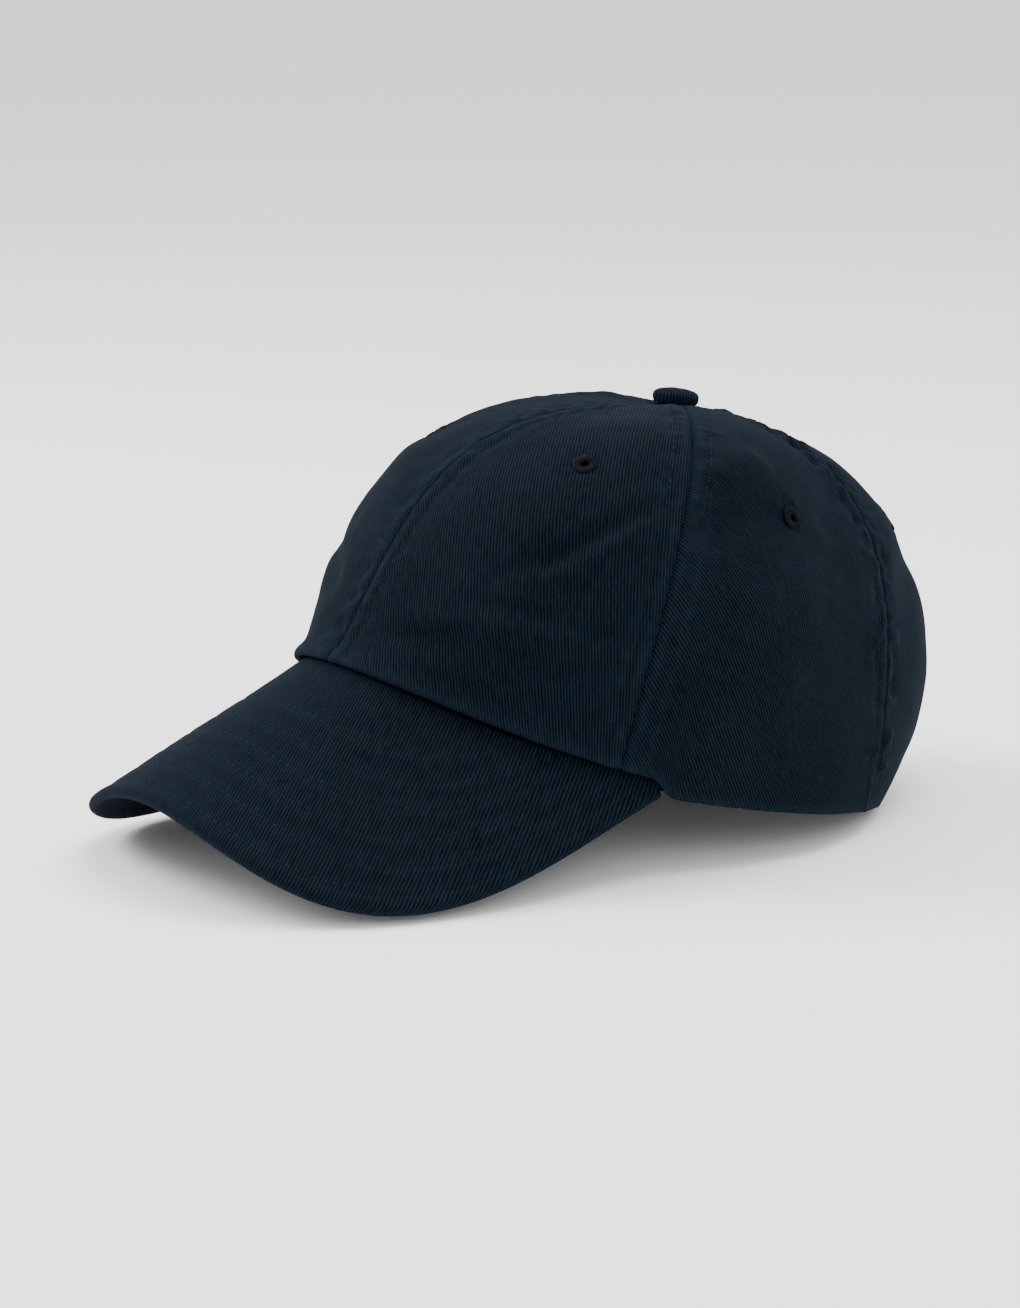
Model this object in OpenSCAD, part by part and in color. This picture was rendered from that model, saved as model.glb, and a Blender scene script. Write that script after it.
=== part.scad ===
// Six-panel baseball cap with a curved brim, a covered top button and a rear strap with a clasp.
// Angles round the head are measured from the front centre, 0, to the back centre, 180.
// The wearer's left is +X, the brim points to -Y, and the cap stands on z = 0.

/* [Head band] */
// Radius of the hem from the crown's centre line, at the front
hem_r_front = 102.3; // [95:0.1:108]
// The same at 45 degrees
hem_r_45 = 88.8; // [83:0.1:94]
// The same at the side
hem_r_side = 85.0; // [80:0.1:90]
// The same at 135 degrees
hem_r_135 = 94.0; // [89:0.1:98]
// The same at the back
hem_r_back = 99.5; // [94:0.1:104]
// Height of the hem at the front centre, before the cap is set down
hem_z_front = 58.9; // [54:0.1:64]
// Height that the hem bends towards between the brim's end and the back
hem_z_mid = 5.5; // [3:0.1:9]
// Height of the hem at the back centre
hem_z_back = -8.6; // [-10:0.1:-4]

/* [Crown] */
// Height of the crown's top above the same zero
crown_z_top = 131.4; // [122:0.1:142]
// How far behind the hem's centre the button sits
crown_lean = 35.1; // [25:0.1:45]
// Angle of the seam between the front and side panels
seam_front = 58.4; // [54:0.1:64]
// Angle of the seam between the side and back panels
seam_back = 131.0; // [126:0.1:136]
// Thickness of a twill panel with its seam allowance
panel_t = 1.2; // [1:0.1:1.6]

/* [Brim] */
// Angle at which the brim runs out into the hem
brim_end = 68.8; // [64:0.1:74]
// Distance of the brim's front edge from the crown's centre line
brim_reach = 170.3; // [160:0.1:180]
// Fall of the brim for each millimetre forward, at its middle
brim_slope = 0.465; // [0.3:0.005:0.6]
// Share of that fall lost 70 mm off centre
brim_slope_fade = 0.364; // [0.2:0.002:0.5]
// Drop of the brim 70 mm off centre, first term
brim_bend = 48.4; // [40:0.1:52]
// The same, fourth-power term
brim_bend_4 = -4.3; // [-6:0.1:0]
// How square the brim's front corners are, as the reach of the outline's handle
brim_corner = 99.5; // [85:0.5:105]
// How far the brim's sides run straight forward
brim_side = 62.7; // [50:0.1:70]
// Thickness of the brim's board
board_t = 1.6; // [1.2:0.1:2]
// Thickness of the twill on each face of the board
cover_t = 0.7; // [0.5:0.1:1]

/* [Trims] */
// Width of the seam tapes
tape_w = 18; // [14:0.5:20]
// Thickness of the seam tapes and of the opening's binding
tape_t = 0.5; // [0.4:0.05:0.6]
// Height of the sweatband
sweatband_h = 32; // [28:0.5:36]
// Thickness of the sweatband
sweatband_t = 1.3; // [1:0.1:1.5]
// Outer radius of the stitched eyelets
eyelet_r = 4.3; // [4:0.1:5]
// Radius of an eyelet's air hole
eyelet_hole_r = 1.5; // [1.2:0.1:2]
// Radius of the covered top button
button_r = 7.7; // [7:0.1:8.5]
// Height of the covered top button
button_h = 5.2; // [4.5:0.1:6]

/* [Rear opening and strap] */
// Half of the opening's width, as an angle
opening_half = 27; // [25:0.5:29]
// Height of the opening's arch, as a share of the crown's back seam
opening_share = 0.32; // [0.28:0.01:0.34]
// Width of the strap
strap_w = 16; // [14:0.5:17]
// Thickness of the strap
strap_t = 1.6; // [1.4:0.1:1.8]
// Opening angle of the clasp's lever that is drawn
lever_open = 0; // [0:5:100]

/* [Hidden] */
$fn = 64;

twill = "#141f2a";
thread = "#0c151e";
lining = "#1b2733";
board = "#d9d4c6";
satin = "#d8d8d4";
brass = "#8a6d3f";
steel = "#9aa0a4";

// The crown's meridians are cubic curves from the hem to the top. These are their two handles,
// out from the centre line and up, at 0, 60, 120 and 180 degrees.
low_out = [0.924, 1.289, 0.935, 1.479];
low_up = [0.667, 0.823, 0.448, 0.270];
high_out = [0.986, 0.779, 0.871, 0.927];
high_down = [-0.195, -0.121, -0.002, 0.079];

top_t = 0.98;            // the panels stop here, under the button
bend_x = 70;             // distance off centre at which the brim's bend is given
gap = 0.35;              // room between layers that lie on each other
tape_depth = panel_t + gap;
band_depth = tape_depth + tape_t + gap;
strap_room = 6.7;        // depth of the sweatband where the strap runs outside it
band_end = 146;          // the sweatband stops here, short of the opening
rows = 20;               // steps up a panel
cols = 10;               // steps across a panel

function total(v) = v * [for (i = v) 1];
function unit(v) = v / norm(v);
function smooth(x) = let (c = min(1, max(0, x))) c * c * (3 - 2 * c);

// Cosine series through values at equal steps from 0 to 180 degrees
function series_terms(v) = let (n = len(v) - 1)
    [for (k = [0:n]) (k == 0 || k == n ? 1 : 2) / n
        * total([for (j = [0:n]) (j == 0 || j == n ? 0.5 : 1) * v[j] * cos(k * j * 180 / n)])];
function at(terms, a) = terms * [for (k = [0:len(terms) - 1]) cos(k * a)];

hem_terms = series_terms([hem_r_front, hem_r_45, hem_r_side, hem_r_135, hem_r_back]);
low_out_terms = series_terms(low_out);
low_up_terms = series_terms(low_up);
high_out_terms = series_terms(high_out);
high_down_terms = series_terms(high_down);

// The brim is one bent surface, which the front of the hem follows
function brim_z(x, y) = let (u = pow(x / bend_x, 2))
    hem_z_front + brim_slope * (1 - brim_slope_fade * u) * (y + hem_r_front)
    - brim_bend * u - brim_bend_4 * u * u;

function hem_xy(a) = at(hem_terms, a) * [sin(a), -cos(a)];
hem_z_end = let (p = hem_xy(brim_end)) brim_z(p.x, p.y);
function hem_z(a) = let (p = hem_xy(a), s = (abs(a) - brim_end) / (180 - brim_end))
    s < 0 ? brim_z(p.x, p.y)
        : hem_z_end * pow(1 - s, 2) + 2 * s * (1 - s) * hem_z_mid + hem_z_back * s * s;

// A point of the crown's outer surface, t from 0 at the hem to 1 at the top
function crown(a, t) = let (
    p = hem_xy(a), z = hem_z(a), s = 1 - t,
    out = s * s * s + 3 * s * s * t * at(low_out_terms, a) + 3 * s * t * t * at(high_out_terms, a),
    up = 3 * s * s * t * at(low_up_terms, a) + 3 * s * t * t * (1 - at(high_down_terms, a)) + t * t * t)
    [p.x * out, crown_lean * up + p.y * out, z + (crown_z_top - z) * up];
function along(a, t) = crown(a, t + 0.002) - crown(a, t - 0.002);
function across(a, t) = crown(a + 0.2, t) - crown(a - 0.2, t);
function outward(a, t) = unit(cross(across(a, t), along(a, t)));
function layer(a, t, depth) = crown(a, t) - depth * outward(a, t);
// Share of a meridian that lies h millimetres above the hem, and angle of w millimetres round it
function share(a, h) = h * 0.004 / norm(along(a, 0.5 * h / 180));
function turn(a, t, w) = min(25, w * 0.4 / norm(across(a, t)));

// The set-down cap: its lowest brim point on z = 0, and the middle of its length on y = 0
brim_t = board_t + 2 * cover_t + 0.2;
steps_x = 40;
steps_y = 8;
function brim_inner(u) = let (a = u * brim_end, p = hem_xy(a)) p + unit(p);
function brim_outer(u) = let (
    tip = brim_inner(1) + [1.6, 1], s = 1 - abs(u), r = abs(u),
    q = r * r * r * tip + 3 * r * r * s * (tip + [2, -brim_side])
        + 3 * r * s * s * [brim_corner, -brim_reach] + s * s * s * [0, -brim_reach])
    [sign(u) * q.x, q.y];
function brim_up(x, y) = unit(cross([1, 0, 10 * (brim_z(x + 0.05, y) - brim_z(x - 0.05, y))],
                                    [0, 1, 10 * (brim_z(x, y + 0.05) - brim_z(x, y - 0.05))]));
function brim_point(u, v, inset, h) = let (
    p0 = brim_inner(u), p1 = brim_outer(u), d = p1 - p0,
    p = p0 + d * v * (1 - inset / max(norm(d), 2.5)),
    base = [p.x, p.y, brim_z(p.x, p.y)])
    base + h * brim_up(p.x, p.y);
set_z = -min([for (i = [0:steps_x]) brim_point(2 * i / steps_x - 1, 1, 0, -brim_t / 2).z]);
back_y = max([for (i = [0:40]) crown(180, i / 40).y]);
front_y = min([for (h = [-1, 1]) brim_point(0, 1, 0, h * brim_t / 2).y]);
set_y = -(back_y + front_y) / 2;
module set_down() translate([0, set_y, set_z]) children();

// A closed sheet between two grids of points, outer[i][j] and inner[i][j]
module sheet(outer, inner) {
    n = len(outer);
    m = len(outer[0]);
    function id(k, i, j) = (k * n + i) * m + j;
    faces = concat(
        [for (i = [0:n - 2]) for (j = [0:m - 2]) for (f = [[0, 1, 2], [0, 2, 3]])
            let (q = [id(0, i, j), id(0, i, j + 1), id(0, i + 1, j + 1), id(0, i + 1, j)]) [for (k = f) q[k]]],
        [for (i = [0:n - 2]) for (j = [0:m - 2]) for (f = [[0, 2, 1], [0, 3, 2]])
            let (q = [id(1, i, j), id(1, i, j + 1), id(1, i + 1, j + 1), id(1, i + 1, j)]) [for (k = f) q[k]]],
        [for (i = [0:n - 2]) for (j = [0, m - 1]) let (
            q = [id(0, i, j), id(0, i + 1, j), id(1, i + 1, j), id(1, i, j)])
            for (f = j == 0 ? [[0, 1, 2], [0, 2, 3]] : [[0, 2, 1], [0, 3, 2]]) [for (k = f) q[k]]],
        [for (j = [0:m - 2]) for (i = [0, n - 1]) let (
            q = [id(0, i, j), id(0, i, j + 1), id(1, i, j + 1), id(1, i, j)])
            for (f = i == 0 ? [[0, 2, 1], [0, 3, 2]] : [[0, 1, 2], [0, 2, 3]]) [for (k = f) q[k]]]);
    points = concat([for (g = outer) each g], [for (g = inner) each g]);
    polyhedron(points, faces, convexity = 6);
}

// A panel between the crown's seams from a0 to a1, both on the wearer's left
module panel(a0, a1) {
    places = [for (i = [0:cols]) [for (j = [0:rows]) [a0 + (a1 - a0) * i / cols, top_t * j / rows]]];
    sheet([for (g = places) [for (p = g) crown(p[0], p[1])]],
          [for (g = places) [for (p = g) layer(p[0], p[1], panel_t)]]);
}

// Round the opening's arch, k from 0 at the hem to 1 at its top, and extra wide by da and dt
function arch(k, da = 0, dt = 0) =
    [180 - (opening_half + da) * cos(90 * k), (opening_share + dt) * sin(90 * k)];

module back_panel() {
    flat_cols = 4;
    arch_cols = 12;
    low = concat([for (i = [0:flat_cols - 1]) [seam_back + (180 - opening_half - seam_back) * i / flat_cols, 0]],
                 [for (i = [0:arch_cols]) arch(i / arch_cols)]);
    n = len(low) - 1;
    places = [for (i = [0:n]) let (high = [seam_back + (180 - seam_back) * i / n, top_t])
        [for (j = [0:rows]) low[i] + (high - low[i]) * j / rows]];
    sheet([for (g = places) [for (p = g) crown(p[0], p[1])]],
          [for (g = places) [for (p = g) layer(p[0], p[1], panel_t)]]);
}

// Something that sits square on the crown's surface
module on_crown(a, t) {
    n = outward(a, t);
    translate(crown(a, t)) rotate([0, acos(n.z), atan2(n.y, n.x)]) children();
}
module eyelet(a, t) on_crown(a, t) translate([0, 0, -panel_t - 0.4]) difference() {
    cylinder(r = eyelet_r, h = panel_t + 0.8, $fn = 48);
    translate([0, 0, -1]) cylinder(r = eyelet_hole_r, h = panel_t + 3, $fn = 48);
}
module eyelet_cut(a, t) on_crown(a, t)
    translate([0, 0, -4]) cylinder(r = eyelet_r + 0.1, h = 8, $fn = 32);
eyelet_front = [32.5, 0.571];
eyelet_side = [90.6, 0.489];
eyelet_back = [156, 0.6];

// A seam tape along angle a, from h millimetres above the hem to near the top
module tape(a, t0) {
    t1 = 0.92;
    places = [for (i = [-2:2]) [for (j = [0:rows]) let (t = t0 + (t1 - t0) * j / rows)
        [a + turn(a, t, tape_w / 2) * i / 2, t]]];
    sheet([for (g = places) [for (p = g) layer(p[0], p[1], tape_depth)]],
          [for (g = places) [for (p = g) layer(p[0], p[1], tape_depth + tape_t)]]);
}

// Depth of the sweatband's outer face: it stands off where the strap slides behind it
function band_at(a) = band_depth + (strap_room - band_depth) * smooth((abs(a) - 100) / 26);
module band(a0, a1, n, h0, h1, extra, thick) {
    places = [for (i = [0:n]) let (a = a0 + (a1 - a0) * i / n)
        [for (j = [0:4]) [a, share(a, h0 + (h1 - h0) * j / 4)]]];
    sheet([for (g = places) [for (p = g) layer(p[0], p[1], band_at(p[0]) + extra)]],
          [for (g = places) [for (p = g) layer(p[0], p[1], band_at(p[0]) + extra + thick)]]);
}

module brim_layer(inset, low, high) {
    places = [for (i = [0:steps_x]) [for (j = [0:steps_y]) [2 * i / steps_x - 1, j / steps_y]]];
    sheet([for (g = places) [for (p = g) brim_point(p[0], p[1], inset, low)]],
          [for (g = places) [for (p = g) brim_point(p[0], p[1], inset, high)]]);
}

// The button stands on the tilted top
button_tilt = 7.7;
button_lift = 0.9;       // clear of the panels' ends
module on_top() translate([0, crown_lean, crown_z_top]) rotate([-button_tilt, 0, 0]) children();
module dome(r, h, flat) {
    // straight side up to flat, then a cap of a sphere
    rise = h - flat;
    ball = (r * r + rise * rise) / (2 * rise);
    rotate_extrude($fn = 96) intersection() {
        square([r, h]);
        union() {
            square([r, flat]);
            translate([0, h - ball]) circle(ball, $fn = 240);
        }
    }
}

// The strap is part of a cone round an axis square to the hem at the back
strap_tilt = 12;         // lean of that axis
strap_y = 29.8;          // where the axis meets z = 0
strap_r = 70.8;            // radius of the strap's lower edge
strap_cone = 10.1;       // how far the strap leans out
strap_h = 15.7;          // height of its lower edge along the axis
strap_root = 58;         // angle of the sewn end, to the wearer's left of the back
strap_tail = 51;         // angle of the free end, to the right
module strap_frame() translate([0, strap_y, 0]) rotate([-strap_tilt, 0, 0]) children();
// A band on that cone, from angle b0 to b1 left of the back, between two depths from its middle
module cone_band(b0, b1, low, high, from, to) {
    g = [sin(strap_cone), cos(strap_cone)];
    m = [cos(strap_cone), -sin(strap_cone)];
    start = [strap_r, strap_h];
    strap_frame() rotate([0, 0, 90 - b1]) rotate_extrude(angle = b1 - b0, $fn = 180)
        polygon([for (c = [[from, low], [from, high], [to, high], [to, low]]) start + c[0] * g + c[1] * m]);
}

// The clasp's own frame: x to the wearer's right along the strap, y up it, z outwards
clasp_at = 22;           // angle of the clasp, to the wearer's right of the back
module clasp_frame_of() strap_frame() rotate([0, 0, 90 + clasp_at])
    translate([strap_r, 0, strap_h]) rotate([0, strap_cone, 0]) translate([0, 0, strap_w / 2])
    rotate([0, 90, 0]) rotate([0, 0, 90]) children();
ear_y = strap_w / 2 + 0.5;
ear_t = 1.2;
plate_z = -2.9;
plate_t = 1;
pin_x = 5;
pin_z = 2.7;
pin_r = 0.8;
bar_x = 13.6;
bar_z = -4.2;

module front_panel_left() set_down() color(twill) difference() {
    panel(0, seam_front);
    eyelet_cut(eyelet_front[0], eyelet_front[1]);
}
module side_panel_left() set_down() color(twill) difference() {
    panel(seam_front, seam_back);
    eyelet_cut(eyelet_side[0], eyelet_side[1]);
}
module back_panel_left() set_down() color(twill) difference() {
    back_panel();
    eyelet_cut(eyelet_back[0], eyelet_back[1]);
}
module front_panel_right() mirror([1, 0, 0]) front_panel_left();
module side_panel_right() mirror([1, 0, 0]) side_panel_left();
module back_panel_right() mirror([1, 0, 0]) back_panel_left();

module eyelet_front_left() set_down() color(thread) eyelet(eyelet_front[0], eyelet_front[1]);
module eyelet_side_left() set_down() color(thread) eyelet(eyelet_side[0], eyelet_side[1]);
module eyelet_back_left() set_down() color(thread) eyelet(eyelet_back[0], eyelet_back[1]);
module eyelet_front_right() mirror([1, 0, 0]) eyelet_front_left();
module eyelet_side_right() mirror([1, 0, 0]) eyelet_side_left();
module eyelet_back_right() mirror([1, 0, 0]) eyelet_back_left();

module tape_front() set_down() color(lining) tape(0, share(0, 10));
module tape_side_left() set_down() color(lining) tape(seam_front, share(seam_front, 10));
module tape_side_right() mirror([1, 0, 0]) tape_side_left();
module tape_rear_left() set_down() color(lining) tape(seam_back, share(seam_back, 28));
module tape_rear_right() mirror([1, 0, 0]) tape_rear_left();
module tape_back() set_down() color(lining) tape(180, opening_share + 0.07);

module opening_binding() {
    n = 36;
    start = 0.1;
    places = [for (i = [0:n]) let (s = 2 * i / n - 1, k = start + (1 - start) * (1 - abs(s)))
        [for (j = [0:2]) let (p = arch(k, 0.3 + 2.2 * j, 0.003 + 0.02 * j)) [s < 0 ? p[0] : -p[0], p[1]]]];
    set_down() color(lining)
        sheet([for (g = places) [for (p = g) layer(p[0], p[1], tape_depth)]],
              [for (g = places) [for (p = g) layer(p[0], p[1], tape_depth + tape_t)]]);
}
module sweatband() set_down() color(lining) band(-band_end, band_end, 60, 1.5, sweatband_h, 0, sweatband_t);
module care_label() set_down() color(satin) band(129, 142, 3, 6, 26, sweatband_t + gap, 0.4);

module brim_cover_top() set_down() color(twill) brim_layer(0, board_t / 2 + 0.1, brim_t / 2);
module brim_board() set_down() color(board) brim_layer(0.6, -board_t / 2, board_t / 2);
module brim_cover_under() set_down() color(twill) brim_layer(0, -brim_t / 2, -board_t / 2 - 0.1);

module button_cover() set_down() color(twill) on_top() translate([0, 0, button_lift]) difference() {
    dome(button_r, button_h, 2.6);
    translate([0, 0, -0.01]) dome(button_r - 0.8, button_h - 0.8, 2.4);
}
module button_shell() set_down() color(steel) on_top() translate([0, 0, button_lift]) difference() {
    dome(button_r - 0.9, button_h - 0.9, 2.3);
    translate([0, 0, -0.01]) dome(button_r - 1.5, button_h - 1.5, 2.1);
}
module button_rivet() set_down() color(steel) on_top() translate([0, 0, -4.2]) {
    cylinder(r = 1.4, h = 7.6);
    cylinder(r = 2.2, h = 0.8);
    translate([0, 0, 6.6]) cylinder(r = 3.2, h = 1);
}
module button_back() set_down() color(lining) on_top() translate([0, 0, -3.3]) difference() {
    cylinder(r = 6.5, h = 0.8);
    translate([0, 0, -1]) cylinder(r = 1.45, h = 3);
}

module rear_strap() set_down() color(twill)
    cone_band(-strap_tail, strap_root, -strap_t / 2, strap_t / 2, 0, strap_w);
module clasp_tab() set_down() color(twill) {
    clasp_frame_of() translate([bar_x, strap_w / 2 - 1, bar_z]) rotate([90, 0, 0]) difference() {
        union() {
            cylinder(r = 1.65, h = strap_w - 2);
            translate([0, -0.9, 0]) cube([5.3, 1.4, strap_w - 2]);
        }
        translate([0, 0, -1]) cylinder(r = 0.95, h = strap_w);
    }
    cone_band(-46, -37, -3.1, -1.9, 1, strap_w - 1);
}
module clasp_frame() set_down() color(brass) clasp_frame_of() difference() {
    union() {
        translate([-10, -ear_y - ear_t, plate_z]) cube([20, 2 * (ear_y + ear_t), plate_t]);
        for (s = [-1, 1]) translate([0, s * (ear_y + ear_t / 2), 0]) {
            translate([-10, -ear_t / 2, plate_z]) cube([20, ear_t, 4.2]);
            translate([pin_x - 2.4, -ear_t / 2, 0]) cube([4.8, ear_t, pin_z]);
            translate([pin_x, ear_t / 2, pin_z]) rotate([90, 0, 0]) cylinder(r = 2.4, h = ear_t);
            translate([9, -ear_t / 2, bar_z - 0.8]) cube([bar_x - 9 + 1, ear_t, 2.3]);
        }
        translate([bar_x, ear_y + 0.2, bar_z]) rotate([90, 0, 0]) cylinder(r = 0.8, h = 2 * ear_y + 0.4);
    }
    translate([pin_x, ear_y + ear_t + 1, pin_z]) rotate([90, 0, 0])
        cylinder(r = pin_r + 0.02, h = 2 * (ear_y + ear_t + 1));
}
module clasp_pin() set_down() color(steel) clasp_frame_of()
    translate([pin_x, ear_y + ear_t + 0.3, pin_z]) rotate([90, 0, 0])
    cylinder(r = pin_r, h = 2 * (ear_y + ear_t + 0.3));
module clasp_lever() set_down() color(brass) clasp_frame_of()
    translate([pin_x, 0, pin_z]) rotate([0, lever_open, 0]) difference() {
        union() {
            translate([0, ear_y - 0.3, 0]) rotate([90, 0, 0]) cylinder(r = 1.7, h = 2 * ear_y - 0.6);
            translate([-14.5, -ear_y + 0.3, 0.2]) cube([14.5, 2 * ear_y - 0.6, 1.1]);
            translate([-14.5, 0, 0.75]) intersection() {
                cylinder(r = ear_y - 0.3, h = 1.1, center = true);
                translate([-3, -10, -1]) cube([3, 20, 2]);
            }
        }
        translate([0, 10, 0]) rotate([90, 0, 0]) cylinder(r = pin_r + 0.05, h = 20);
    }

front_panel_left();
front_panel_right();
side_panel_left();
side_panel_right();
back_panel_left();
back_panel_right();
tape_front();
tape_side_left();
tape_side_right();
tape_rear_left();
tape_rear_right();
tape_back();
opening_binding();
sweatband();
care_label();
brim_cover_top();
brim_board();
brim_cover_under();
eyelet_front_left();
eyelet_front_right();
eyelet_side_left();
eyelet_side_right();
eyelet_back_left();
eyelet_back_right();
button_cover();
button_shell();
button_rivet();
button_back();
rear_strap();
clasp_tab();
clasp_frame();
clasp_pin();
clasp_lever();
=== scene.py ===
import bisect
import functools
import math
import bmesh
import bpy
from mathutils import Matrix, Vector, noise


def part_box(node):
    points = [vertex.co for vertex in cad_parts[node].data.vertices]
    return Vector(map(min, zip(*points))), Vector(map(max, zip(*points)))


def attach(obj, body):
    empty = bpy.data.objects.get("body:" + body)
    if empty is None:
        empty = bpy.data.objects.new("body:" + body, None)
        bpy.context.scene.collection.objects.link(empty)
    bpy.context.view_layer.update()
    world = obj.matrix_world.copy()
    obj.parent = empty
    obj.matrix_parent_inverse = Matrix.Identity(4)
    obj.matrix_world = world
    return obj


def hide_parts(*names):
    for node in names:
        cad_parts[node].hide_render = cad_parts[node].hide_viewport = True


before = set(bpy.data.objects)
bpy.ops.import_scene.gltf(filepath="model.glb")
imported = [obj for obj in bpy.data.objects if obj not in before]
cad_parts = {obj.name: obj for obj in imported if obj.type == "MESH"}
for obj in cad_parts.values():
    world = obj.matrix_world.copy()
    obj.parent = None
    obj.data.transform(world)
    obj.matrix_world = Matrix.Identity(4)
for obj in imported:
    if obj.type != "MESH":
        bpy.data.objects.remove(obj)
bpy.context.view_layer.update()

mm = 0.001
print("cap: frame loaded")

# The crown's and brim's curves, in millimetres and degrees, as the cap is cut
capShape = {
    "hemRadius": [102.3, 88.8, 85.0, 94.0, 99.5],   # from the centre line, at equal steps front to back
    "hemFront": 58.9, "hemMid": 5.5, "hemBack": -8.6,  # heights
    "top": 131.4, "lean": 35.1,                     # the button's height and how far back it sits
    "lowOut": [0.924, 1.289, 0.935, 1.479], "lowUp": [0.667, 0.823, 0.448, 0.270],
    "highOut": [0.986, 0.779, 0.871, 0.927], "highDown": [-0.195, -0.121, -0.002, 0.079],
    "seamFront": 58.4, "seamBack": 131.0, "openingHalf": 27.0, "openingShare": 0.32,
}
brimShape = {
    "end": 68.8, "reach": 170.3, "slope": 0.465, "slopeFade": 0.364, "bend": 48.4, "bend4": -4.3,
    "corner": 99.5, "side": 62.7, "half": 1.6,      # half is half of the brim's thickness
}


def cosineTerms(values):
    n = len(values) - 1
    return [(1 if k in (0, n) else 2) / n
            * sum((0.5 if j in (0, n) else 1) * v * math.cos(k * j * math.pi / n) for j, v in enumerate(values))
            for k in range(n + 1)]


def seriesAt(terms, angle):
    return sum(c * math.cos(k * math.radians(angle)) for k, c in enumerate(terms))


hemTerms = cosineTerms(capShape["hemRadius"])
handleTerms = [cosineTerms(capShape[k]) for k in ("lowOut", "lowUp", "highOut", "highDown")]


def brimHeight(x, y):
    u = (x / 70) ** 2
    slope = brimShape["slope"] * (1 - brimShape["slopeFade"] * u)
    return capShape["hemFront"] + slope * (y + capShape["hemRadius"][0]) - brimShape["bend"] * u - brimShape["bend4"] * u * u


def hemPlan(angle):
    r = seriesAt(hemTerms, angle)
    return r * math.sin(math.radians(angle)), -r * math.cos(math.radians(angle))


endHeight = brimHeight(*hemPlan(brimShape["end"]))


@functools.lru_cache(maxsize=None)
def meridian(angle):  # the hem's point and the four handles of the curve up from it
    x, y = hemPlan(angle)
    s = (abs(angle) - brimShape["end"]) / (180 - brimShape["end"])
    z = brimHeight(x, y) if s < 0 else (
        endHeight * (1 - s) ** 2 + 2 * s * (1 - s) * capShape["hemMid"] + capShape["hemBack"] * s * s)
    return (x, y, z) + tuple(seriesAt(t, angle) for t in handleTerms)


def crownPoint(angle, t):
    x, y, z, lowOut, lowUp, highOut, highDown = meridian(round(angle, 3))
    s = 1 - t
    out = s ** 3 + 3 * s * s * t * lowOut + 3 * s * t * t * highOut
    up = 3 * s * s * t * lowUp + 3 * s * t * t * (1 - highDown) + t ** 3
    return Vector((x * out, capShape["lean"] * up + y * out, z + (capShape["top"] - z) * up))


def crownNormal(angle, t):
    across = crownPoint(angle + 0.2, t) - crownPoint(angle - 0.2, t)
    along = crownPoint(angle, t + 0.003) - crownPoint(angle, t - 0.003)
    return across.cross(along).normalized()


def perDegree(angle, t):  # millimetres round the crown for one degree
    return (crownPoint(angle + 0.2, t) - crownPoint(angle - 0.2, t)).length / 0.4


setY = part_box("front_panel_left")[0].y / mm + capShape["hemRadius"][0]
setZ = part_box("back_panel_left")[0].z / mm - meridian(180 - capShape["openingHalf"])[2]


def inFrame(p):
    return Vector((p[0], p[1] + setY, p[2] + setZ)) * mm


def climb(angle, steps=60):  # arc length up a meridian, as a table
    marks, total, last = [0.0], 0.0, crownPoint(angle, 0)
    for k in range(1, steps + 1):
        p = crownPoint(angle, k / steps)
        total += (p - last).length
        marks.append(total)
        last = p
    return marks


@functools.lru_cache(maxsize=None)
def climbTable(angle):
    return climb(angle)


def shareAt(angle, height):  # t that lies height millimetres up the meridian
    marks = climbTable(round(angle, 1))
    k = min(max(bisect.bisect_left(marks, height), 1), len(marks) - 1)
    return (k - 1 + (height - marks[k - 1]) / (marks[k] - marks[k - 1])) / (len(marks) - 1)


def heightAt(angle, t):
    marks = climbTable(round(angle, 1))
    f = min(max(t, 0), 1) * (len(marks) - 1)
    k = min(int(f), len(marks) - 2)
    return marks[k] + (marks[k + 1] - marks[k]) * (f - k)


def bell(x, width):
    return math.exp(-(x / width) ** 2)


def smooth(x):
    x = min(max(x, 0), 1)
    return x * x * (3 - 2 * x)


# ---------- finishes ----------
def hexColour(code, alpha=1.0):
    parts = [int(code[i:i + 2], 16) / 255 for i in (1, 3, 5)]
    return [c / 12.92 if c <= 0.04045 else ((c + 0.055) / 1.055) ** 2.4 for c in parts] + [alpha]


def addNode(tree, kind, settings=None, links=None):
    node = tree.nodes.new(kind)
    for name, value in (settings or {}).items():
        if name == "stops":
            while len(node.color_ramp.elements) < len(value):
                node.color_ramp.elements.new(0.5)
            for element, (place, colour) in zip(node.color_ramp.elements, value):
                element.position = place
                element.color = hexColour(colour)
        elif isinstance(name, int) or name in node.inputs:
            node.inputs[name].default_value = value
        else:
            setattr(node, name, value)
    for name, source in (links or {}).items():
        tree.links.new(source, node.inputs[name])
    return node


def newMaterial(name):
    material = bpy.data.materials.new(name)
    material.use_nodes = True
    material.node_tree.nodes.clear()
    return material, material.node_tree


def finishMaterial(tree, settings, links):
    shader = addNode(tree, "ShaderNodeBsdfPrincipled", settings, links)
    addNode(tree, "ShaderNodeOutputMaterial", None, {"Surface": shader.outputs[0]})


twillLook = {
    "rib": 1.0,        # mm between diagonal ribs; the real cloth has 0.6, too fine to show
    "valley": "#000101", "body": "#02060a", "ridge": "#0d1722", "worn": "#121d28",
    "sheen": "#5d86b5",
}


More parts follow.
